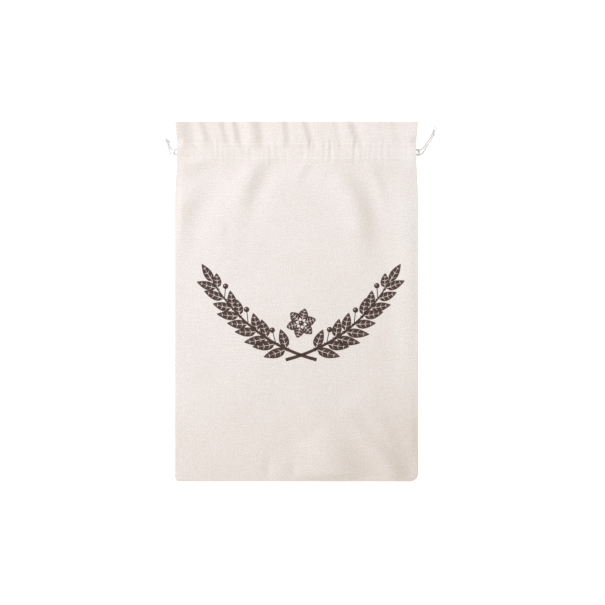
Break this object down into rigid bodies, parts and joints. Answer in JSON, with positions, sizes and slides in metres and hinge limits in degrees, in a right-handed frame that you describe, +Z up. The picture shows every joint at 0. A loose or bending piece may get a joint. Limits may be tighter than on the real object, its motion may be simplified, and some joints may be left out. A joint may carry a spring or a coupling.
{
  "type": "linen bread bag",
  "caption": "Flat linen bread bag with a frilled mouth, a sewn drawcord channel and knotted cords at both sides, lying on its back.",
  "frame": {"origin": "on the surface that the bag lies on, under the middle of the bag", "axes": "+X across the bag to the right, +Y from its foot to its mouth, +Z up from the surface to the printed front"},
  "size_m": [0.3335, 0.4431, 0.0147],
  "materials": {
    "linen": "matte plain weave, natural cream",
    "cord": "matte twisted cotton, off-white",
    "thread": "matte sewing thread, pale cream",
    "ink": "matte dark brown print soaked into the weave"
  },
  "bodies": {
    "root": {"front_panel": "linen", "back_panel": "linen", "drawcord_left": "cord", "drawcord_right": "cord", "knot_left": "cord", "knot_right": "cord"}
  },
  "joints": []
}
